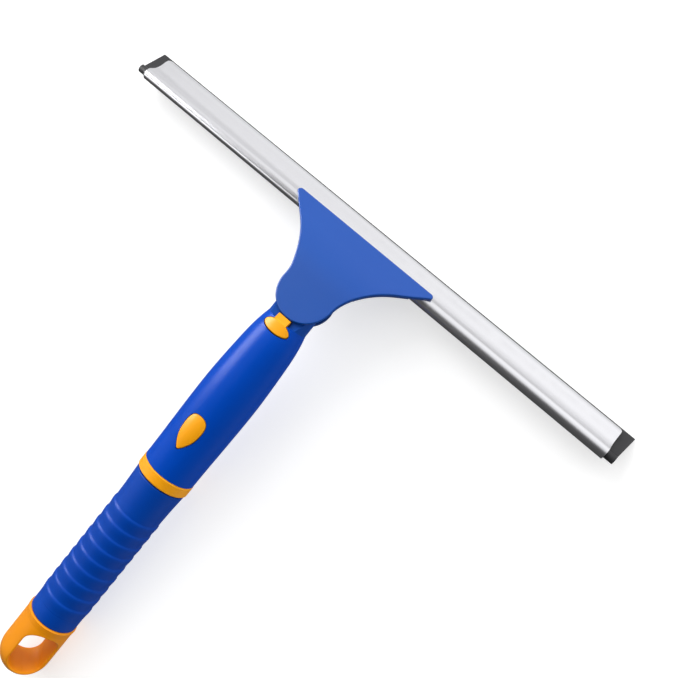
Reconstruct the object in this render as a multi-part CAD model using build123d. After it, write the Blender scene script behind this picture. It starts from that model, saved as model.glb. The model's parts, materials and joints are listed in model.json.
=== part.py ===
from build123d import *
import os
from math import asin, atan2, cos, degrees, radians, sin

# Window cleaning squeegee with a swivelling head and a pull-off grip, in millimetres.
# It lies face up: X runs along the blade, Y from the grip to the blade, Z up.
# The origin is the centre of the footprint at the bottom of the object.
#
# Three helper frames are used.
#   HEAD   origin on the disc's top at the swivel axis, Z along that axis
#   HANDLE origin on the handle's axis under the pivot, Y forwards along the handle
#   WING   origin on the ridge where the plate bends, Y forwards down the slope
# A station s is a distance from the pivot towards the cap, so local Y is -s.

# Blade and channel
CHANNEL_LENGTH = 338.0
RUBBER_LENGTH = 354.4
TUBE_R = 3.7
TUBE_INNER_R = 2.7
BULB_R = 2.5
JAW_T = 1.05
RUBBER_ROOT_T = 1.9
RUBBER_LIP_T = 1.7
RUBBER_REACH = 21.4
RUBBER_HEEL_HALF = 174.6
ROOT_W = -0.28
LIP_W = -0.8
JAW_FRONT = 18.2
JAW_CORNER_R = 2.2
FLARE_ANGLE = 20.0

# Head
DISC_R = 16.8
PLATE_T = 2.8
SKIRT_T = 1.6
SCREW_XS = (-19.0, 0.0, 19.0)
SCREW_V = 12.0
SCREW_PAD_R = 3.4
SCREW_PAD_END = -7.0
SCREW_SEAT = -10.5
SKIRT_INSET = 0.4
CORE_INSET = 6.0
NOTCH_COUNT = 7
TOP_EDGE_R = 0.8
BEND_START = 8.41
BEND_R = 49.5
WING_TILT = 29.45
RIDGE_Y = 21.41
WING_FRONT = 29.0
WING_HALF = 49.2
TUBE_V = 25.8
TUBE_W = -5.7
SWIVEL_LIMIT = 75.0

# Pivot and tongue
BOSS_R = 5.0
PIVOT_SHANK_R = 1.75
WASHER_T = 0.8
TONGUE_HOLE_R = 5.06
TONGUE_TOP = -3.1
TONGUE_BOTTOM = -11.3
TONGUE_DISC_R = 12.8
RETAINER_TOP = -11.6
RETAINER_BOTTOM = -14.4
RETAINER_R = 14.5

# Handle
AXIS_DROP = 6.47
HANDLE_TILT = 16.56
WALL = 2.2
BODY_START = 17.75
BODY_END = 122.9
RING_START = 123.2
RING_END = 129.8
RING_R = 16.3
SLEEVE_START = 130.2
SLEEVE_END = 233.75
RIB_FIRST = 154.6
RIB_PITCH = 8.0
RIB_COUNT = 9
CAP_START = 234.0
CAP_R = 15.0
DOME_CENTRE = 260.3
STUB_R = 9.0
STUB_HOLE_R = 9.06
STUB_START = 70.0
CORE_R = 13.0
CORE_INNER_R = 10.8

# Walls across the body, each as its two stations, and the posts that take the shells' screws
FRONT_WALL = (34.3, 36.0)
MIDDLE_WALL = (76.5, 79.0)
REAR_WALL = (108.2, 110.2)
END_WALL = (119.4, BODY_END)
POSTS = ((0.0, 52.0), (-11.7, 113.5), (11.7, 113.5))
POST_R = 2.2
FRONT_SCREW_SEAT = -11.4
REAR_SCREW_SEAT = -8.6
SHELL_SCREW_R = 0.9
PLUG_R = 9.9
PLUG_HOLE_R = 9.96

# Buttons
LOCK_Y = -24.0
LOCK_HALF_X = 7.9
LOCK_HALF_Y = 3.5
LOCK_BOTTOM = -6.0
LOCK_TRAVEL = 2.0
SPRING_BORE_R = 2.6
SPRING_FLOOR = -10.0
RELEASE_START = 83.5
RELEASE_TIP = 105.3
RELEASE_WIDE = 91.4
RELEASE_HALF = 5.75
RELEASE_TRAVEL = 1.8
DOME_TOP = 17.55
DOME_R = 10.5
BUTTON_FLANGE_Z = 11.0
YOKE_START = 91.5
YOKE_END = 94.5
BUTTON_GAP = 0.42

# Hanging eye
EYE_S = 254.8
EYE_LENGTH = 29.2
EYE_WIDTH = 19.8
EYE_CORNER_R = 8.6
EYE_ROLL = 40.0
EYE_RIM_R = 0.7


def rest_pose():
    """Tilt and offset at which the rubber's lip and the dome both touch Z = 0."""
    tau = radians(WING_TILT)
    beta = radians(HANDLE_TILT)
    lip_v = TUBE_V + RUBBER_REACH
    low_w = TUBE_W + LIP_W - RUBBER_LIP_T / 2
    high_w = low_w + RUBBER_LIP_T
    low = (RIDGE_Y + lip_v * cos(tau) + low_w * sin(tau), -lip_v * sin(tau) + low_w * cos(tau))
    high = (RIDGE_Y + lip_v * cos(tau) + high_w * sin(tau), -lip_v * sin(tau) + high_w * cos(tau))
    dome = (-DOME_CENTRE * cos(beta), -AXIS_DROP - DOME_CENTRE * sin(beta))
    run = low[0] - dome[0]
    rise = low[1] - dome[1]
    tilt = atan2(rise, run) + asin(CAP_R / (run**2 + rise**2) ** 0.5)
    front = high[0] * cos(tilt) + high[1] * sin(tilt)
    back = dome[0] * cos(tilt) + dome[1] * sin(tilt) - CAP_R
    bottom = -dome[0] * sin(tilt) + dome[1] * cos(tilt) - CAP_R
    return degrees(tilt), -(front + back) / 2, -bottom


REST_TILT, SHIFT_Y, SHIFT_Z = rest_pose()
HEAD = Pos(0, SHIFT_Y, SHIFT_Z) * Rot(-REST_TILT, 0, 0)
HANDLE = HEAD * Pos(0, 0, -AXIS_DROP) * Rot(HANDLE_TILT, 0, 0)
WING = HEAD * Pos(0, RIDGE_Y, 0) * Rot(-WING_TILT, 0, 0)
HANDLE_IN_HEAD = Pos(0, 0, -AXIS_DROP) * Rot(HANDLE_TILT, 0, 0)
WING_IN_HEAD = Pos(0, RIDGE_Y, 0) * Rot(-WING_TILT, 0, 0)


# ---------------------------------------------------------------- helpers


def block(x, y, z):
    """Box between pairs of limits."""
    size = (x[1] - x[0], y[1] - y[0], z[1] - z[0])
    middle = ((x[0] + x[1]) / 2, (y[0] + y[1]) / 2, (z[0] + z[1]) / 2)
    return Pos(*middle) * Box(*size)


def rod(radius, z0, z1, x=0.0, y=0.0):
    """Cylinder along Z between two heights."""
    return Pos(x, y, (z0 + z1) / 2) * Cylinder(radius, z1 - z0)


def barrel(radius, s0, s1):
    """Cylinder along the handle between two stations."""
    return Pos(0, -(s0 + s1) / 2, 0) * Rot(90, 0, 0) * Cylinder(radius, s1 - s0)


def turned(points):
    """Solid of revolution about the handle's axis from (station, radius) corners."""
    outline = Polyline(*[(r, -s) for s, r in points], close=True)
    return revolve(make_face(outline), Axis.Y, 360)


def yz_prism(face, half_x):
    """Extrude a face drawn as (Y, Z) to both sides along X."""
    return extrude(Plane.YZ * face, half_x, both=True)


def cross_recess(width, depth, top):
    """Crossed slots of a screw's drive, cut down from a height."""
    arm = 0.28 * width
    bar = block((-width / 2, width / 2), (-arm / 2, arm / 2), (top - depth, top + 1))
    return bar + Rot(0, 0, 90) * bar


def screw(shank_r, shank_length, head_r, head_t):
    """Screw pointing up: the head's top is at Z = 0 and the shank rises from it."""
    body = rod(head_r, -head_t, 0.0) + rod(shank_r, 0.0, shank_length)
    body = chamfer(body.edges().group_by(Axis.Z)[-1], 0.4)
    drive = Rot(180, 0, 0) * cross_recess(1.4 * head_r, 0.6 * head_t, head_t)
    return body - drive


def coil(radius, wire, height, turns):
    """Compression spring along Z from Z = 0, with ends on the wire's centre line."""
    path = Helix(height / turns, height, radius)
    start = path.position_at(0)
    section = Plane(start, z_dir=path.tangent_at(0)) * Circle(wire)
    return sweep(section, path, is_frenet=True)


# ---------------------------------------------------------------- body profile


def body_curve(inset):
    """Swelling profile of the handle's body, from its front rim to the collar."""
    stations = [
        (BODY_START, 12.2),
        (28.9, 14.4),
        (43.5, 15.65),
        (62.0, 16.6),
        (82.9, 16.7),
        (104.0, 16.3),
        (BODY_END, 16.05),
    ]
    return [(r - inset, -s) for s, r in stations]


def body_solid(inset):
    """Filled body, its surface moved inwards by a wall."""
    points = body_curve(inset)
    side = Spline(*points)
    front = Polyline(points[0], (0, points[0][1]), (0, points[-1][1]), points[-1])
    return revolve(make_face(Curve() + [side, front]), Axis.Y, 360)


# ---------------------------------------------------------------- head


def plate_underside(above):
    """Side-view region above a line that lies a distance under the plate's top."""
    radius = BEND_R - above
    tau = radians(WING_TILT)
    centre = (BEND_START, -BEND_R)
    tangent = (centre[0] + radius * sin(tau), centre[1] + radius * cos(tau))
    middle = (centre[0] + radius * sin(tau / 2), centre[1] + radius * cos(tau / 2))
    start = (BEND_START, -above)
    far = (tangent[0] + 60 * cos(tau), tangent[1] - 60 * sin(tau))
    flat = Line((-60, -above), start)
    bend = ThreePointArc(start, middle, tangent)
    slope = Line(tangent, far)
    roof = Polyline(far, (far[0], 90), (-60, 90), (-60, -above))
    return make_face(Curve() + [flat, bend, slope, roof])


def plate_outline(inset):
    """Plan of the head: a disc whose sides flare out to the wing."""
    edge = [
        (DISC_R - inset, 0),
        (18.6 - inset, 9),
        (24 - inset, 19),
        (32.5 - inset, 29),
        (41.5 - inset, 36.8),
        (52.0 - inset, 46.0),
    ]
    mirror_edge = [(-x, y) for x, y in reversed(edge)]
    right = Spline(*edge, tangents=[(0, 1), (1, 0.8)])
    left = Spline(*mirror_edge, tangents=[(1, -0.8), (0, -1)])
    front = Polyline(edge[-1], (edge[-1][0], 60), (-edge[-1][0], 60), mirror_edge[0])
    back = ThreePointArc(mirror_edge[-1], (0, -DISC_R + inset), edge[0])
    return make_face(Curve() + [right, front, left, back])


def plan_prism(inset):
    """Plan outline carried through the head's height."""
    return Pos(0, 0, -50) * extrude(plate_outline(inset), 100)


def wing_block(side_inset, front_inset, corner_r):
    """Rounded rectangle, square to the wing, that ends the plate's front."""
    half = WING_HALF - side_inset
    front = WING_FRONT - front_inset
    sheet = Pos(0, front - 100, 0) * RectangleRounded(2 * half, 200, corner_r)
    return WING_IN_HEAD * Pos(0, 0, -60) * extrude(sheet, 120)


def channel_outline():
    """Filled section of tube and jaws, as (forwards, up) from the tube's centre."""
    leave = TUBE_R * cos(radians(FLARE_ANGLE))
    side = TUBE_R * sin(radians(FLARE_ANGLE))
    slope = (leave, -side)
    valley = [(4.2, 2.35), (8.0, 1.75), (11.5, 2.35)]
    upper = [(side, leave)] + valley + [(14.0, 3.1), (16.6, 3.0), (JAW_FRONT, 2.5)]
    lower = [(14.0, -3.3), (11.0, -2.9), (8.0, -2.5), (4.2, -2.75), (side, -leave)]
    top = Spline(*upper, tangents=[slope, (1, -0.4)])
    nose = Polyline(upper[-1], (JAW_FRONT, 1.2), lower[0])
    bottom = Spline(*lower, tangents=[(-1, 0.1), (-leave, -side)])
    back = Line(lower[-1], upper[0])
    return Circle(TUBE_R) + make_face(Curve() + [top, nose, bottom, back])


def channel_cavity():
    """Open space inside the tube and between the jaws."""
    t = JAW_T
    valley = [(4.2, 2.4 - t), (8.0, 1.75 - t), (11.5, 2.35 - t)]
    top = Spline((1.0, 3.5 - t), *valley, (14.0, 3.1 - t), (18.4, 2.6 - t))
    nose = Polyline((18.4, 2.6 - t), (22.0, 2.0), (22.0, -6.0), (14.2, -6.0), (14.2, -3.3 + t))
    bottom = Spline((14.2, -3.3 + t), (11.0, -2.9 + t), (8.0, -2.5 + t), (4.2, -2.9 + t), (1.0, -3.5 + t))
    back = Line((1.0, -3.5 + t), (1.0, 3.5 - t))
    return Circle(TUBE_INNER_R) + make_face(Curve() + [top, nose, bottom, back])


def in_channel(face, half_length):
    """Extrude a channel section along the blade and put it under the wing."""
    return Pos(0, TUBE_V, TUBE_W) * yz_prism(face, half_length)


def head_top_plate():
    strip = plate_underside(PLATE_T) - plate_underside(0)
    plate = yz_prism(strip, 70) & plan_prism(0) & wing_block(0, 0, 2.0)
    top_edges = [e for e in plate.edges() if on_top(e)]
    plate = fillet(top_edges, TOP_EDGE_R)
    boss = rod(BOSS_R, RETAINER_TOP, -PLATE_T)
    plate = plate + boss - rod(PIVOT_SHANK_R, RETAINER_TOP - 1, -5.0)
    for x in SCREW_XS:
        pad = WING_IN_HEAD * rod(SCREW_PAD_R, SCREW_PAD_END, -PLATE_T + 0.5, x, SCREW_V)
        hole = WING_IN_HEAD * rod(1.3, -8.0, -3.6, x, SCREW_V)
        plate = plate + (pad & yz_prism(below_top(), 60)) - hole
    plate = plate - WING_IN_HEAD * in_channel(channel_outline(), 60)
    notch = block((-4.4, 4.4), (-18.0, -14.9), (-PLATE_T - 0.1, -1.2))
    for k in range(NOTCH_COUNT):
        angle = SWIVEL_LIMIT * (2 * k / (NOTCH_COUNT - 1) - 1)
        plate = plate - Rot(0, 0, angle) * notch
    return HEAD * plate


def below_top():
    """Side-view region under the plate's top surface, for trimming the screw pads."""
    return Rectangle(160, 160) - plate_underside(0.6)


def on_top(edge):
    """True for the edges that lie on the plate's upper surface."""
    for t in (0.0, 0.5, 1.0):
        p = edge.position_at(t)
        if abs(p.Z - top_height(p.Y)) > 0.02:
            return False
    return True


def top_height(y):
    """Height of the plate's upper surface over its plan."""
    tau = radians(WING_TILT)
    bend_end = BEND_START + BEND_R * sin(tau)
    if y <= BEND_START:
        return 0.0
    if y <= bend_end:
        return (BEND_R**2 - (y - BEND_START) ** 2) ** 0.5 - BEND_R
    return -(y - RIDGE_Y) * sin(tau) / cos(tau)


def head_bottom_clamp():
    """Block that closes the wing from below, hooks the tube and carries the pivot."""
    knee = (WING_IN_HEAD * Pos(0, 20.0, -11.9)).position
    toe = (WING_IN_HEAD * Pos(0, 27.4, -11.9)).position
    roof = (WING_IN_HEAD * Pos(0, 27.4, 12.0)).position
    side = Polyline(
        (13.4, 25),
        (13.4, RETAINER_BOTTOM),
        (knee.Y, knee.Z),
        (toe.Y, toe.Z),
        (roof.Y, roof.Z),
        (roof.Y, 25),
        close=True,
    )
    section = make_face(side) - plate_underside(PLATE_T)
    skirt = section & plate_underside(PLATE_T + SKIRT_T)
    rim = yz_prism(skirt, 60) & plan_prism(SKIRT_INSET) & wing_block(9.5, 1.2, 1.0)
    core = yz_prism(section, 60) & plan_prism(CORE_INSET) & wing_block(CORE_INSET, 1.2, 2.0)
    clamp = rim + core + rod(RETAINER_R, RETAINER_BOTTOM, RETAINER_TOP)
    bridge = block((-11.0, 11.0), (5.0, 13.6), (RETAINER_BOTTOM, RETAINER_TOP))
    clamp = clamp + bridge - rod(1.9, -20, 0)
    clamp = clamp - rod(5.3, RETAINER_BOTTOM - 5, RETAINER_BOTTOM + WASHER_T)
    for x in SCREW_XS:
        socket = rod(SCREW_PAD_R + 0.1, SCREW_PAD_END - 0.1, 0.0, x, SCREW_V)
        clearance = rod(1.6, -20.0, 0.0, x, SCREW_V)
        sink = rod(3.2, -22.0, SCREW_SEAT, x, SCREW_V)
        clamp = clamp - WING_IN_HEAD * (socket + clearance + sink)
    for x in (-9.5, 9.5):
        pocket = block((x - 4.0, x + 4.0), (6.0, 18.0), (-25.0, -6.0))
        clamp = clamp - WING_IN_HEAD * pocket
    clamp = clamp - WING_IN_HEAD * in_channel(channel_outline(), 60)
    return HEAD * clamp


def aluminium_channel():
    section = channel_outline() - channel_cavity()
    section = section - Pos(1.6, -3.5) * Rectangle(0.7, 1.2)
    front = TUBE_V + JAW_FRONT
    plan = Pos(0, front - 50) * RectangleRounded(CHANNEL_LENGTH, 100, JAW_CORNER_R)
    channel = in_channel(section, CHANNEL_LENGTH / 2) & extrude(plan, 40, both=True)
    return HEAD * WING_IN_HEAD * channel


def rubber_blade():
    a = RUBBER_ROOT_T / 2
    b = RUBBER_LIP_T / 2
    sheet = Polyline(
        (1.0, ROOT_W + a),
        (RUBBER_REACH, LIP_W + b),
        (RUBBER_REACH, LIP_W - b),
        (1.0, ROOT_W - a),
        close=True,
    )
    section = Circle(BULB_R) + make_face(sheet)
    half = RUBBER_LENGTH / 2
    front = TUBE_V + RUBBER_REACH
    outline = Polyline(
        (-RUBBER_HEEL_HALF, TUBE_V - 5),
        (-RUBBER_HEEL_HALF, TUBE_V),
        (-half, front),
        (half, front),
        (RUBBER_HEEL_HALF, TUBE_V),
        (RUBBER_HEEL_HALF, TUBE_V - 5),
        close=True,
    )
    blank = extrude(make_face(outline), 40, both=True)
    return HEAD * WING_IN_HEAD * (in_channel(section, half) & blank)


def clamp_screws():
    one = screw(1.3, 6.4, 2.9, 1.9)
    return Compound(children=[WING * Pos(x, SCREW_V, SCREW_SEAT) * one for x in SCREW_XS])


def pivot_screw():
    return HEAD * Pos(0, 0, RETAINER_BOTTOM) * screw(PIVOT_SHANK_R, 8.6, 3.6, 2.2)


def pivot_washer():
    ring = rod(5.0, RETAINER_BOTTOM, RETAINER_BOTTOM + WASHER_T) - rod(PIVOT_SHANK_R + 0.1, -20, 0)
    return HEAD * ring


# ---------------------------------------------------------------- handle


def lock_prism(grow, z0, z1):
    """Oval of the swivel lock and its tab, grown for clearance."""
    oval = Pos(0, LOCK_Y) * Ellipse(LOCK_HALF_X + grow, LOCK_HALF_Y + grow)
    return Pos(0, 0, z0) * extrude(oval, z1 - z0)


def swivel_tongue():
    """Flat-topped tongue with a round eye in front and a trapped plug behind."""
    arm = HANDLE_IN_HEAD * barrel(12.2, 3.0, BODY_START)
    arm = arm & block((-40, 40), (-60, 5), (-60, TONGUE_TOP))
    under_disc = rod(15.2, -60, TONGUE_BOTTOM)
    front_half = block((-40, 40), (0, 40), (-60, 20))
    arm = arm - under_disc - front_half
    tongue = arm + rod(TONGUE_DISC_R, TONGUE_BOTTOM, TONGUE_TOP)
    plug = barrel(PLUG_R, BODY_START - 1.0, 36.0) + barrel(12.0, 31.0, 34.0)
    tongue = tongue + HANDLE_IN_HEAD * plug
    tongue = tongue & block((-40, 40), (-60, 40), (-60, TONGUE_TOP))
    tab_pocket = block((-4.6, 4.6), (-21.6, -16.4), (-5.4, 10))
    well = lock_prism(1.0, LOCK_BOTTOM - LOCK_TRAVEL - 0.6, 10)
    seat = rod(SPRING_BORE_R + 0.1, SPRING_FLOOR, 10, 0, LOCK_Y)
    tongue = tongue - well - tab_pocket - seat - rod(TONGUE_HOLE_R, -40, 10)
    return HEAD * tongue


def bulkhead(stations, hole_r):
    """Internal wall with a round hole on the handle's axis."""
    s0, s1 = stations
    return (body_solid(0.5) & barrel(40, s0, s1)) - barrel(hole_r, s0 - 1, s1 + 1)


def body_shell(upper):
    """Half of the hollow body, split on the handle's mid plane."""
    shell = body_solid(0) - body_solid(WALL) - barrel(PLUG_HOLE_R, 0, 34)
    shell = shell + bulkhead(FRONT_WALL, PLUG_HOLE_R)
    for stations in (MIDDLE_WALL, REAR_WALL, END_WALL):
        shell = shell + bulkhead(stations, STUB_HOLE_R)
    for x, s in POSTS:
        post = rod(POST_R, -20, 20, x, -s) & body_solid(0.8)
        shell = shell + post
    half = block((-40, 40), (-140, 0), (0, 40) if upper else (-40, 0))
    return shell & half


def body_top_shell():
    shell = body_shell(True)
    shell = shell - extrude(release_face(BUTTON_GAP), 30)
    for x, s in POSTS:
        shell = shell - rod(SHELL_SCREW_R, -1, 7.0 if x else 12.0, x, -s)
    lock_cut = Pos(0, -0.15, 0) * lock_prism(0.45, -20, 20)
    lock_cut = lock_cut + block((-4.35, 4.35), (-22, -5), (-5.4, 20))
    return HANDLE * shell - HEAD * lock_cut


def body_bottom_shell():
    shell = body_shell(False)
    for x, s in POSTS:
        sink = REAR_SCREW_SEAT if x else FRONT_SCREW_SEAT
        shell = shell - rod(1.1, -20, 1, x, -s) - rod(2.0, -20, sink, x, -s)
    return HANDLE * shell


def shell_screws():
    parts = []
    for x, s in POSTS:
        seat = REAR_SCREW_SEAT if x else FRONT_SCREW_SEAT
        shank = -seat + (6.0 if x else 10.0)
        parts.append(HANDLE * Pos(x, -s, seat) * screw(SHELL_SCREW_R, shank, 1.85, 1.4))
    return Compound(children=parts)


def swivel_lock_button():
    skin = HANDLE_IN_HEAD * Pos(0, 1.5, 0) * body_solid(0)
    button = lock_prism(0, LOCK_BOTTOM, 20) & skin
    crown = button.edges().filter_by(GeomType.BSPLINE)
    button = fillet(crown, 0.6)
    tab = block((-4.0, 4.0), (-21.5, -17.05), (-2.6, -0.2))
    tab = chamfer(tab.edges().filter_by(Axis.X).group_by(Axis.Z)[-1], 0.4)
    button = button + tab - rod(SPRING_BORE_R, LOCK_BOTTOM - 1.0, -2.4, 0, LOCK_Y)
    return HEAD * button


def swivel_lock_spring():
    spring = Pos(0, LOCK_Y, -9.6) * coil(1.9, 0.3, 6.8, 5)
    return HEAD * spring


def release_face(grow):
    """Pick-shaped plan of the release button: round in front, pointed behind."""
    half = RELEASE_HALF + grow
    nose = -(RELEASE_START - grow)
    tip = -(RELEASE_TIP + 1.6 * grow)
    wide = -RELEASE_WIDE
    right = Spline((0, nose), (half, wide), (0.9, tip + 0.5), tangents=[(1, 0), (-0.75, -1)])
    end = ThreePointArc((0.9, tip + 0.5), (0, tip), (-0.9, tip + 0.5))
    left = Spline((-0.9, tip + 0.5), (-half, wide), (0, nose), tangents=[(-0.75, 1), (1, 0)])
    return make_face(Curve() + [right, end, left])


def yoke_blank():
    """Outline of the latch yoke, filled, with the tab that enters the button."""
    disc = Pos(0, 0, 0.6) * barrel(12.4, YOKE_START, YOKE_END)
    tab = block((-3.0, 3.0), (-YOKE_END, -YOKE_START), (BUTTON_FLANGE_Z, BUTTON_FLANGE_Z + 2.6))
    return disc + tab


def release_dome():
    """Crowned top of the release button: proud of the body at its middle, flush at its edges."""
    front = RELEASE_START - 1
    rear = RELEASE_TIP + 1
    start = (DOME_R - 0.85, -front)
    crest = ThreePointArc(start, (DOME_R, -(front + rear) / 2), (DOME_R - 1.25, -rear))
    ends = Polyline((DOME_R - 1.25, -rear), (0, -rear), (0, -front), start)
    dome = revolve(make_face(Curve() + [crest, ends]), Axis.Y, 360)
    return Pos(0, 0, DOME_TOP - DOME_R) * dome


def release_button():
    button = Pos(0, 0, BUTTON_FLANGE_Z) * extrude(release_face(0), 10) & release_dome()
    crown = [e for e in button.edges() if (e @ 0).Z > 14.0 and (e @ 1).Z > 14.0]
    button = fillet(crown, 0.45)
    flange = Pos(0, 0, BUTTON_FLANGE_Z) * extrude(release_face(1.1), 1.0)
    return HANDLE * (button + flange - yoke_blank())


def latch_yoke():
    """Ring plate around the stub, with a tooth that rides in the stub's groove."""
    aperture = barrel(9.3, 80, 100) + Pos(0, 0, RELEASE_TRAVEL) * barrel(9.3, 80, 100)
    aperture = aperture + block((-9.3, 9.3), (-100, -80), (0, RELEASE_TRAVEL))
    tooth = block((-1.2, 1.2), (-YOKE_END, -YOKE_START), (-10.0, -8.3))
    return HANDLE * (yoke_blank() - aperture + tooth)


def release_spring():
    """Bowed leaf under the yoke, resting on the lower shell."""
    top = ThreePointArc((-9.0, -13.1), (0, -11.85), (9.0, -13.1))
    right = Line((9.0, -13.1), (9.0, -13.55))
    low = ThreePointArc((9.0, -13.55), (0, -12.3), (-9.0, -13.55))
    left = Line((-9.0, -13.55), (-9.0, -13.1))
    leaf = yz_prism(make_face(Curve() + [top, right, low, left]), 2.5)
    return HANDLE * Pos(0, -(YOKE_START + YOKE_END) / 2, 0) * leaf


# ---------------------------------------------------------------- grip


def grip_tube():
    """Stub that slides into the body and the core under the sleeve, in one piece."""
    outline = [
        (STUB_START, 6.4),
        (STUB_START, STUB_R - 0.8),
        (STUB_START + 0.8, STUB_R),
        (RING_START, STUB_R),
        (RING_START, CORE_R),
        (SLEEVE_END + 0.1, CORE_R),
        (SLEEVE_END + 0.1, CORE_INNER_R),
        (128.0, CORE_INNER_R),
        (124.0, 6.4),
    ]
    tube = turned(outline)
    slot = block((-1.5, 1.5), (-94.5, -60), (-10, -7.9))
    return HANDLE * (tube - slot)


def collar_ring():
    outline = [
        (RING_START, CORE_R),
        (RING_START, RING_R - 0.5),
        (RING_START + 0.5, RING_R),
        (RING_END - 0.5, RING_R),
        (RING_END, RING_R - 0.5),
        (RING_END, CORE_R),
    ]
    return HANDLE * turned(outline)


def grip_sleeve():
    """Rubber sleeve with shallow ring-shaped steps between two smooth bands."""
    side = [(SLEEVE_START, CORE_R), (SLEEVE_START, 15.4), (SLEEVE_START + 0.4, 15.8)]
    side += [(145.0, 15.1), (152.8, 15.0)]
    for k in range(RIB_COUNT):
        s = RIB_FIRST + RIB_PITCH * k
        side += [(s - 1.2, 14.75), (s - 0.2, 15.2), (s + 1.2, 15.2), (s + 5.6, 14.75)]
    side += [(SLEEVE_END - 0.4, 14.6), (SLEEVE_END, 14.3), (SLEEVE_END, CORE_R)]
    return HANDLE * turned(side)


def eye_sheet(grow):
    """Rounded outline of the hanging eye, long side along the handle."""
    size = (EYE_WIDTH + 2 * grow, EYE_LENGTH + 2 * grow)
    return Pos(0, -EYE_S) * RectangleRounded(size[0], size[1], EYE_CORNER_R + grow)


def end_cap():
    """Domed cap with a slanting rounded eye, and a spigot up the core tube."""
    rim = Line((0, -CAP_START), (CAP_R - 0.45, -CAP_START))
    lead = Line((CAP_R - 0.45, -CAP_START), (CAP_R + 0.4, -CAP_START - 0.55))
    neck = Line((CAP_R + 0.4, -CAP_START - 0.55), (CAP_R, -CAP_START - 4.0))
    side = Line((CAP_R, -CAP_START - 4.0), (CAP_R, -DOME_CENTRE))
    bend = (CAP_R * cos(radians(45)), -DOME_CENTRE - CAP_R * sin(radians(45)))
    dome = ThreePointArc((CAP_R, -DOME_CENTRE), bend, (0, -DOME_CENTRE - CAP_R))
    axis = Line((0, -DOME_CENTRE - CAP_R), (0, -CAP_START))
    cap = revolve(make_face(Curve() + [rim, lead, neck, side, dome, axis]), Axis.Y, 360)
    hole = Pos(0, 0, -30) * extrude(eye_sheet(0), 60)
    hole = Rot(0, EYE_ROLL, 0) * hole
    holed = cap - hole
    cap = fillet(new_edges(cap, hole, combined=holed), EYE_RIM_R)
    spigot = barrel(10.7, 222.0, CAP_START + 0.5) - barrel(8.3, 221.0, CAP_START - 1.0)
    return HANDLE * (cap + spigot)


# ---------------------------------------------------------------- files

NODES = {
    "head_top_plate": head_top_plate,
    "head_bottom_clamp": head_bottom_clamp,
    "aluminium_channel": aluminium_channel,
    "rubber_blade": rubber_blade,
    "clamp_screws": clamp_screws,
    "pivot_screw": pivot_screw,
    "pivot_washer": pivot_washer,
    "swivel_tongue": swivel_tongue,
    "body_top_shell": body_top_shell,
    "body_bottom_shell": body_bottom_shell,
    "shell_screws": shell_screws,
    "swivel_lock_button": swivel_lock_button,
    "swivel_lock_spring": swivel_lock_spring,
    "release_button": release_button,
    "latch_yoke": latch_yoke,
    "release_spring": release_spring,
    "grip_tube": grip_tube,
    "collar_ring": collar_ring,
    "grip_sleeve": grip_sleeve,
    "end_cap": end_cap,
}

os.makedirs("parts", exist_ok=True)
for name, make in NODES.items():
    export_step(make(), "parts/" + name + ".step")
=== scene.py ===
import json
import math
import bpy
import bmesh
from mathutils import Euler, Matrix, Vector


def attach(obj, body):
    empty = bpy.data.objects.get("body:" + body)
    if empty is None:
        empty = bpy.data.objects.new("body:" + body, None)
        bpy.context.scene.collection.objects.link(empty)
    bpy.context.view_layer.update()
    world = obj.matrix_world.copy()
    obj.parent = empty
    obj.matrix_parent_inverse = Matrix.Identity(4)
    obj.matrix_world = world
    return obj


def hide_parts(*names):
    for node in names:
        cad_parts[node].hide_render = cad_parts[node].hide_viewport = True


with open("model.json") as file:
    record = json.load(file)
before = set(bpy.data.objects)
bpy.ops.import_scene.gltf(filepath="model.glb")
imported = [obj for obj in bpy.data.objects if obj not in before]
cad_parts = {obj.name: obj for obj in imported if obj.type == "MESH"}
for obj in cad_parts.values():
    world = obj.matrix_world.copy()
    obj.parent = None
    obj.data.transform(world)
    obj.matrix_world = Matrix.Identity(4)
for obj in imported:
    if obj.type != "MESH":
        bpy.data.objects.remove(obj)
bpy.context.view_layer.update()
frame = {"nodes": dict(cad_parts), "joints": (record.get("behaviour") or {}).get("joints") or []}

NODES = frame["nodes"]
JOINTS = {joint["name"]: joint for joint in frame["joints"]}
MM = 0.001


# ---------------------------------------------------------------- materials

# Places on a noise's scale of 0 to 1 where it reaches its dark and its light tone.
DARK_AT = 0.3
LIGHT_AT = 0.7


def colour_ramp(tree, value, stops):
    """Colour that follows a value through (place, colour) stops."""
    node = tree.nodes.new("ShaderNodeValToRGB")
    ends = node.color_ramp.elements
    while len(ends) < len(stops):
        ends.new(0.5)
    for end, (place, colour) in zip(ends, stops):
        end.position = place
        end.color = (*colour, 1.0)
    tree.links.new(value, node.inputs["Fac"])
    return node.outputs["Color"]


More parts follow.
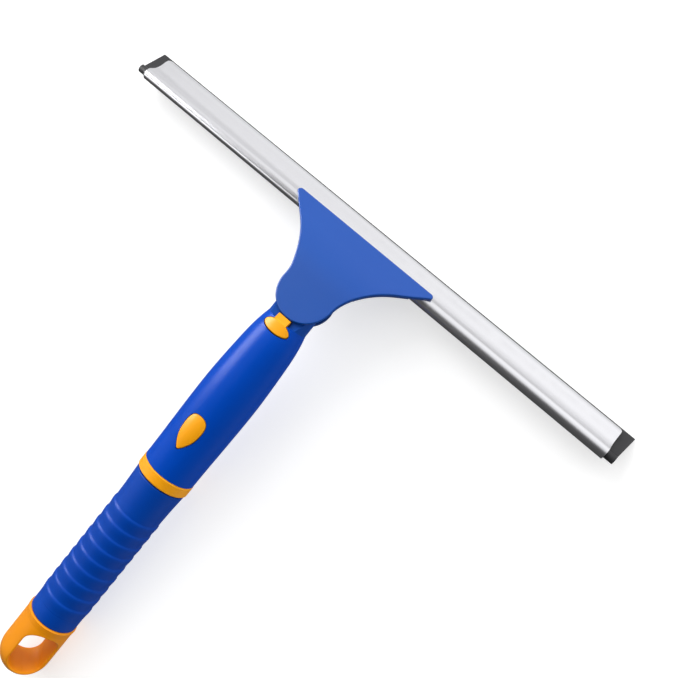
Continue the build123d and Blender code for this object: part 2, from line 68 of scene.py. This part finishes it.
class Shader:
    """A node material with a Principled shader and a few shorthands."""

    def __init__(self, name):
        self.material = bpy.data.materials.new(name)
        self.material.use_nodes = True
        self.tree = self.material.node_tree
        self.bsdf = self.tree.nodes["Principled BSDF"]
        self.position = self.tree.nodes.new("ShaderNodeTexCoord").outputs["Object"]

    def link(self, source, target):
        self.tree.links.new(source, target)

    def set(self, **values):
        """Uniform values, straight on the shader's sockets."""
        for key, value in values.items():
            self.bsdf.inputs[key.replace("_", " ")].default_value = value

    def noise(self, scale, detail=2.0, stretch=(1, 1, 1)):
        """Noise over the object's own coordinates, with its scale per metre."""
        mapping = self.tree.nodes.new("ShaderNodeMapping")
        mapping.inputs["Scale"].default_value = stretch
        texture = self.tree.nodes.new("ShaderNodeTexNoise")
        texture.inputs["Scale"].default_value = scale
        texture.inputs["Detail"].default_value = detail
        self.link(self.position, mapping.inputs["Vector"])
        self.link(mapping.outputs["Vector"], texture.inputs["Vector"])
        return texture.outputs["Fac"]

    def tone(self, value, dark, light):
        """Base colour that goes from dark to light with a noise."""
        colour = colour_ramp(self.tree, value, [(DARK_AT, dark), (LIGHT_AT, light)])
        self.link(colour, self.bsdf.inputs["Base Color"])

    def roughen(self, value, low, high):
        """Roughness that goes from low to high with a noise."""
        node = self.tree.nodes.new("ShaderNodeMapRange")
        node.inputs["To Min"].default_value = low
        node.inputs["To Max"].default_value = high
        self.link(value, node.inputs["Value"])
        self.link(node.outputs["Result"], self.bsdf.inputs["Roughness"])

    def bump(self, value, strength, distance):
        """Relief that follows a noise, with its height in metres."""
        node = self.tree.nodes.new("ShaderNodeBump")
        node.inputs["Strength"].default_value = strength
        node.inputs["Distance"].default_value = distance
        self.link(value, node.inputs["Height"])
        self.link(node.outputs["Normal"], self.bsdf.inputs["Normal"])


def moulded(name, dark, light, rough, specular=0.5):
    """Injection-moulded plastic: slow drift of tone, fine spark-eroded grain."""
    s = Shader(name)
    s.tone(s.noise(scale=14.0, detail=4.0), dark, light)
    s.roughen(s.noise(scale=220.0), low=rough - 0.04, high=rough + 0.05)
    s.set(Specular_IOR_Level=specular)
    s.bump(s.noise(scale=2600.0), strength=0.25, distance=0.02 * MM)
    return s.material


def rubbery(name, dark, light, rough, specular=0.35):
    """Soft-touch rubber with a pebbled skin and faint scuffs."""
    s = Shader(name)
    s.tone(s.noise(scale=30.0, detail=5.0), dark, light)
    s.roughen(s.noise(scale=160.0, detail=3.0), low=rough - 0.06, high=rough + 0.06)
    s.set(Specular_IOR_Level=specular)
    s.bump(s.noise(scale=1500.0), strength=0.3, distance=0.04 * MM)
    return s.material


def drawn_aluminium(name, dark, light):
    """Satin anodised extrusion: frosted grain over very faint die lines along X."""
    s = Shader(name)
    grain = s.noise(scale=1800.0)
    s.tone(grain, dark, light)
    s.roughen(s.noise(scale=1400.0, stretch=(0.002, 1, 1)), low=0.27, high=0.31)
    s.set(Metallic=1.0)
    s.bump(grain, strength=0.25, distance=0.02 * MM)
    return s.material


def turned_steel(name, dark, light):
    """Plain machined steel of the screws, the washer and the springs."""
    s = Shader(name)
    s.tone(s.noise(scale=400.0, detail=3.0), dark, light)
    s.roughen(s.noise(scale=700.0), low=0.26, high=0.38)
    s.set(Metallic=1.0)
    s.bump(s.noise(scale=1200.0), strength=0.15, distance=0.02 * MM)
    return s.material


PLATE_BLUE = moulded("plate_blue", (0.000, 0.055, 0.315), (0.000, 0.060, 0.325), rough=0.36, specular=0.42)
CLAMP_BLUE = moulded("clamp_blue", (0.000, 0.036, 0.200), (0.000, 0.040, 0.220), rough=0.48, specular=0.30)
BODY_BLUE = moulded("body_blue", (0.000, 0.055, 0.430), (0.000, 0.060, 0.450), rough=0.31, specular=0.10)
TONGUE_BLUE = moulded("tongue_blue", (0.000, 0.055, 0.340), (0.000, 0.060, 0.360), rough=0.42, specular=0.12)
ORANGE = moulded("signal_orange", (0.890, 0.355, 0.004), (0.920, 0.372, 0.006), rough=0.36, specular=0.22)
CAP_ORANGE = moulded("cap_orange", (0.780, 0.258, 0.001), (0.820, 0.278, 0.003), rough=0.40, specular=0.22)
CORE_GREY = moulded("core_plastic", (0.012, 0.012, 0.014), (0.018, 0.018, 0.020), rough=0.50)
GRIP_BLUE = rubbery("grip_rubber", (0.000, 0.047, 0.350), (0.000, 0.054, 0.380), rough=0.44, specular=0.12)
BLADE_BLACK = rubbery("blade_rubber", (0.020, 0.020, 0.022), (0.032, 0.032, 0.034), rough=0.52)
ALUMINIUM = drawn_aluminium("channel_aluminium", (0.850, 0.850, 0.880), (0.880, 0.880, 0.910))
STEEL = turned_steel("steel", (0.500, 0.500, 0.510), (0.560, 0.560, 0.5712))

LOOKS = {
    "head_top_plate": PLATE_BLUE,
    "head_bottom_clamp": CLAMP_BLUE,
    "aluminium_channel": ALUMINIUM,
    "rubber_blade": BLADE_BLACK,
    "clamp_screws": STEEL,
    "pivot_screw": STEEL,
    "pivot_washer": STEEL,
    "swivel_tongue": TONGUE_BLUE,
    "body_top_shell": BODY_BLUE,
    "body_bottom_shell": BODY_BLUE,
    "shell_screws": STEEL,
    "swivel_lock_button": ORANGE,
    "swivel_lock_spring": STEEL,
    "release_button": ORANGE,
    "latch_yoke": CORE_GREY,
    "release_spring": STEEL,
    "grip_tube": CORE_GREY,
    "collar_ring": ORANGE,
    "grip_sleeve": GRIP_BLUE,
    "end_cap": CAP_ORANGE,
}


def dress(obj, material):
    """Give an object one material."""
    obj.data.materials.clear()
    obj.data.materials.append(material)


for node_name, look in LOOKS.items():
    dress(NODES[node_name], look)


# ---------------------------------------------------------------- ribbed grip

# Stations run from the pivot towards the cap, along the handle's axis. They and
# all the radii are in mm.
AXIS_DROP = 6.47        # from the pivot to the axis, down the disc's normal
SLEEVE_START = 130.65
SLEEVE_END = 233.7
SLEEVE_BORE = 13.02     # radius
SLEEVE_RADIUS = 14.95   # halfway up the ribs
STATION_STEP = 0.25
LATHE_TURNS = 160       # faces around the sleeve
END_FACE_DROP = 0.5     # from the side's first radius to the outer edge of the end face
EDGE_BREAK = 0.15

RIB_FIRST = 154.6       # crest of the first rib
RIB_PITCH = 8.0
RIB_COUNT = 9
RIB_HEIGHT = 0.46
RIB_FALL = 0.77         # share of the pitch that falls away from a crest

FLARE_HEIGHT = 0.95     # the sleeve widens from the first rib towards the collar
FLARE_LENGTH = 24.0
FLARE_POWER = 1.6
FOOT_DROP = 0.1         # the band beside the cap lies under the ribs' valleys


def handle_frame():
    """Local X across, Y from the cap to the head, Z through the buttons, on the handle's axis."""
    pivot = Vector(JOINTS["head_swivel"]["pos_m"])
    normal = Vector(JOINTS["head_swivel"]["axis"]).normalized()
    forward = -Vector(JOINTS["grip_pull"]["axis"]).normalized()
    across = Vector((1, 0, 0))
    turn = Matrix((across, forward, across.cross(forward))).transposed().to_4x4()
    return Matrix.Translation(pivot - AXIS_DROP * MM * normal) @ turn


def rib_wave(place):
    """Skewed wave from 0 to 1: a long fall from each crest, then a short rise to the next."""
    u = place % 1.0
    if u < RIB_FALL:
        phase = 0.5 * u / RIB_FALL
    else:
        phase = 0.5 + 0.5 * (u - RIB_FALL) / (1 - RIB_FALL)
    return 0.5 + 0.5 * math.cos(2 * math.pi * phase)


def grip_radius(station):
    """Radius of the sleeve's outside at a station."""
    place = (station - RIB_FIRST) / RIB_PITCH
    valley = SLEEVE_RADIUS - RIB_HEIGHT / 2
    if place < -(1 - RIB_FALL):
        return valley + FLARE_HEIGHT * max(0.0, (RIB_FIRST - station) / FLARE_LENGTH) ** FLARE_POWER
    if place > RIB_COUNT - 1 + RIB_FALL:
        return valley - FOOT_DROP
    return SLEEVE_RADIUS + RIB_HEIGHT * (rib_wave(place) - 0.5)


def lathe(name, profile):
    """Closed ring of revolution about the handle's axis, from (station, radius) points."""
    mesh = bpy.data.meshes.new(name)
    shape = bmesh.new()
    rings = []
    for station, radius in profile:
        ring = []
        for k in range(LATHE_TURNS):
            angle = 2 * math.pi * k / LATHE_TURNS
            x = radius * MM * math.sin(angle)
            z = radius * MM * math.cos(angle)
            ring.append(shape.verts.new((x, -station * MM, z)))
        rings.append(ring)
    for one, two in zip(rings, rings[1:] + rings[:1]):
        for k in range(LATHE_TURNS):
            j = (k + 1) % LATHE_TURNS
            shape.faces.new((one[k], one[j], two[j], two[k]))
    bmesh.ops.recalc_face_normals(shape, faces=shape.faces)
    for face in shape.faces:
        face.smooth = True
    shape.to_mesh(mesh)
    shape.free()
    obj = bpy.data.objects.new(name, mesh)
    bpy.context.scene.collection.objects.link(obj)
    obj.matrix_world = handle_frame()
    return obj


def ribbed_grip():
    """Sleeve with rounded ribs, in place of the CAD sleeve's plain steps."""
    length = SLEEVE_END - SLEEVE_START
    count = round(length / STATION_STEP)
    stations = [SLEEVE_START + k * length / count for k in range(count + 1)]
    start_radius = grip_radius(SLEEVE_START)
    end_radius = grip_radius(SLEEVE_END)
    top = [
        (SLEEVE_START, SLEEVE_BORE),
        (SLEEVE_START, start_radius - END_FACE_DROP),
        (SLEEVE_START + EDGE_BREAK, start_radius - EDGE_BREAK),
    ]
    # The first two and the last two stations give way to the broken edges.
    side = [(station, grip_radius(station)) for station in stations[2:-2]]
    bottom = [
        (SLEEVE_END, end_radius - EDGE_BREAK),
        (SLEEVE_END, SLEEVE_BORE),
    ]
    grip = lathe("ribbed_grip", top + side + bottom)
    dress(grip, GRIP_BLUE)
    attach(grip, "grip")
    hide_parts("grip_sleeve")


ribbed_grip()


# ---------------------------------------------------------------- stage and light

# The floor glows a little itself, and the object's gleams don't show it, since the
# photograph is cut out on white.
FLOOR_SIZE = 20.0
FLOOR_DROP = 0.5 * MM
FLOOR_DARK = (0.49, 0.49, 0.49)
FLOOR_LIGHT = (0.51, 0.51, 0.51)
FLOOR_GLOW = 0.62
WHITE = (1, 1, 1, 1)

BACKDROP = (0.84, 0.84, 0.85, 1.0)
WORLD_STRENGTH = 1.12

# The world glows towards two axes. A stop is (lean, level), where the lean is 0 for
# a direction against the axis, 0.5 square to it and 1 along it.
FRONT_AXIS = (0.25, 0.90, 0.32)
FRONT_GLOW = [
    (0.0, 0.05),
    (0.5, 0.05),
    (0.57, 0.08),
    (0.67, 0.20),
    (0.735, 0.28),
    (0.77, 0.30),
    (0.82, 0.76),
    (0.93, 0.80),
    (0.97, 0.97),
    (1.0, 1.0),
]
LEFT_AXIS = (-0.56, 0.62, -0.55)
LEFT_GLOW = [
    (0.0, 0.0),
    (0.78, 0.0),
    (0.90, 0.04),
    (0.95, 0.10),
    (0.98, 0.30),
    (1.0, 0.55),
]

CAMERA_PLACE = (0.1189, 0.1322, 0.4708)
CAMERA_DEGREES = (4.971, 11.294, 40.963)
CAMERA_SENSOR = 36.0    # mm
CAMERA_LENS = 44.82     # mm
CAMERA_REACH = 20.0     # m


def floor():
    """Pale sweep under the object."""
    mesh = bpy.data.meshes.new("floor")
    shape = bmesh.new()
    bmesh.ops.create_grid(shape, x_segments=2, y_segments=2, size=FLOOR_SIZE)
    shape.to_mesh(mesh)
    shape.free()
    obj = bpy.data.objects.new("floor", mesh)
    bpy.context.scene.collection.objects.link(obj)
    obj.location.z = -FLOOR_DROP
    s = Shader("floor_paper")
    s.tone(s.noise(scale=6.0, detail=3.0), FLOOR_DARK, FLOOR_LIGHT)
    s.set(Roughness=0.9, Specular_IOR_Level=0.1, Emission_Color=WHITE, Emission_Strength=FLOOR_GLOW)
    dress(obj, s.material)
    obj.visible_glossy = False


def softbox(name, place, target, size, power, gleam=True, fill=True):
    """Rectangular lamp, with switches for its mirror image and for its soft light."""
    data = bpy.data.lights.new(name, "AREA")
    data.shape = "RECTANGLE"
    data.size, data.size_y = size
    data.energy = power
    obj = bpy.data.objects.new(name, data)
    bpy.context.scene.collection.objects.link(obj)
    obj.location = place
    obj.rotation_euler = (Vector(target) - Vector(place)).to_track_quat("-Z", "Y").to_euler()
    obj.visible_camera = False
    obj.visible_glossy = gleam
    obj.visible_diffuse = fill


def glow(tree, direction, axis, stops):
    """Grey level that follows a direction's lean to an axis through (lean, level) stops."""
    dot = tree.nodes.new("ShaderNodeVectorMath")
    dot.operation = "DOT_PRODUCT"
    dot.inputs[1].default_value = Vector(axis).normalized()
    tree.links.new(direction, dot.inputs[0])
    lean = tree.nodes.new("ShaderNodeMapRange")
    lean.inputs["From Min"].default_value = -1.0
    tree.links.new(dot.outputs["Value"], lean.inputs["Value"])
    greys = [(place, (level, level, level)) for place, level in stops]
    return colour_ramp(tree, lean.outputs["Result"], greys)


def surroundings():
    """World that lights the object with two glows, and that the camera sees as a plain backdrop."""
    world = bpy.data.worlds.new("studio")
    world.use_nodes = True
    tree = world.node_tree
    lit = tree.nodes["Background"]
    direction = tree.nodes.new("ShaderNodeTexCoord").outputs["Generated"]
    total = tree.nodes.new("ShaderNodeMix")
    total.data_type = "RGBA"
    total.blend_type = "ADD"
    total.clamp_result = False
    total.inputs["Factor"].default_value = 1.0
    tree.links.new(glow(tree, direction, LEFT_AXIS, LEFT_GLOW), total.inputs["A"])
    tree.links.new(glow(tree, direction, FRONT_AXIS, FRONT_GLOW), total.inputs["B"])
    tree.links.new(total.outputs["Result"], lit.inputs["Color"])
    lit.inputs["Strength"].default_value = WORLD_STRENGTH
    seen = tree.nodes.new("ShaderNodeBackground")
    seen.inputs["Color"].default_value = BACKDROP
    path = tree.nodes.new("ShaderNodeLightPath").outputs["Is Camera Ray"]
    choose = tree.nodes.new("ShaderNodeMixShader")
    tree.links.new(path, choose.inputs["Fac"])
    tree.links.new(lit.outputs["Background"], choose.inputs[1])
    tree.links.new(seen.outputs["Background"], choose.inputs[2])
    tree.links.new(choose.outputs["Shader"], tree.nodes["World Output"].inputs["Surface"])
    bpy.context.scene.world = world


def camera():
    """Camera fitted to the photograph's outlines."""
    data = bpy.data.cameras.new("camera")
    data.sensor_width = CAMERA_SENSOR
    data.lens = CAMERA_LENS
    data.clip_end = CAMERA_REACH
    obj = bpy.data.objects.new("camera", data)
    bpy.context.scene.collection.objects.link(obj)
    obj.location = CAMERA_PLACE
    obj.rotation_euler = Euler([math.radians(degrees) for degrees in CAMERA_DEGREES])
    bpy.context.scene.camera = obj


floor()
surroundings()
softbox("overhead", (-0.5, 0.1, 1.5), target=(0, 0, 0), size=(1.2, 1.2), power=7.0, gleam=False)
softbox("high_left", (-0.9, 0.8, 0.95), target=(0, 0, 0.02), size=(0.8, 0.8), power=12.0, gleam=False)
softbox("key_left", (-1.15, 0.08, 0.60), target=(0, 0.02, 0.02), size=(0.75, 0.8), power=7.0, gleam=False)
softbox("key_gleam", (-1.15, 0.10, 0.60), target=(0, 0.02, 0.02), size=(0.75, 0.8), power=32.0, fill=False)
softbox("back_left", (-0.75, -0.8, 0.75), target=(0, 0.1, 0.02), size=(0.5, 0.5), power=1.4, fill=False)
softbox("front_low", (0.1, 1.3, 0.45), target=(0, 0.1, 0.02), size=(1.6, 0.5), power=5.5, gleam=False)
softbox("fill_right", (1.2, -0.4, 0.40), target=(0, 0, 0.02), size=(0.5, 0.9), power=0.8, gleam=False)
camera()
bpy.context.scene.view_settings.view_transform = "Standard"
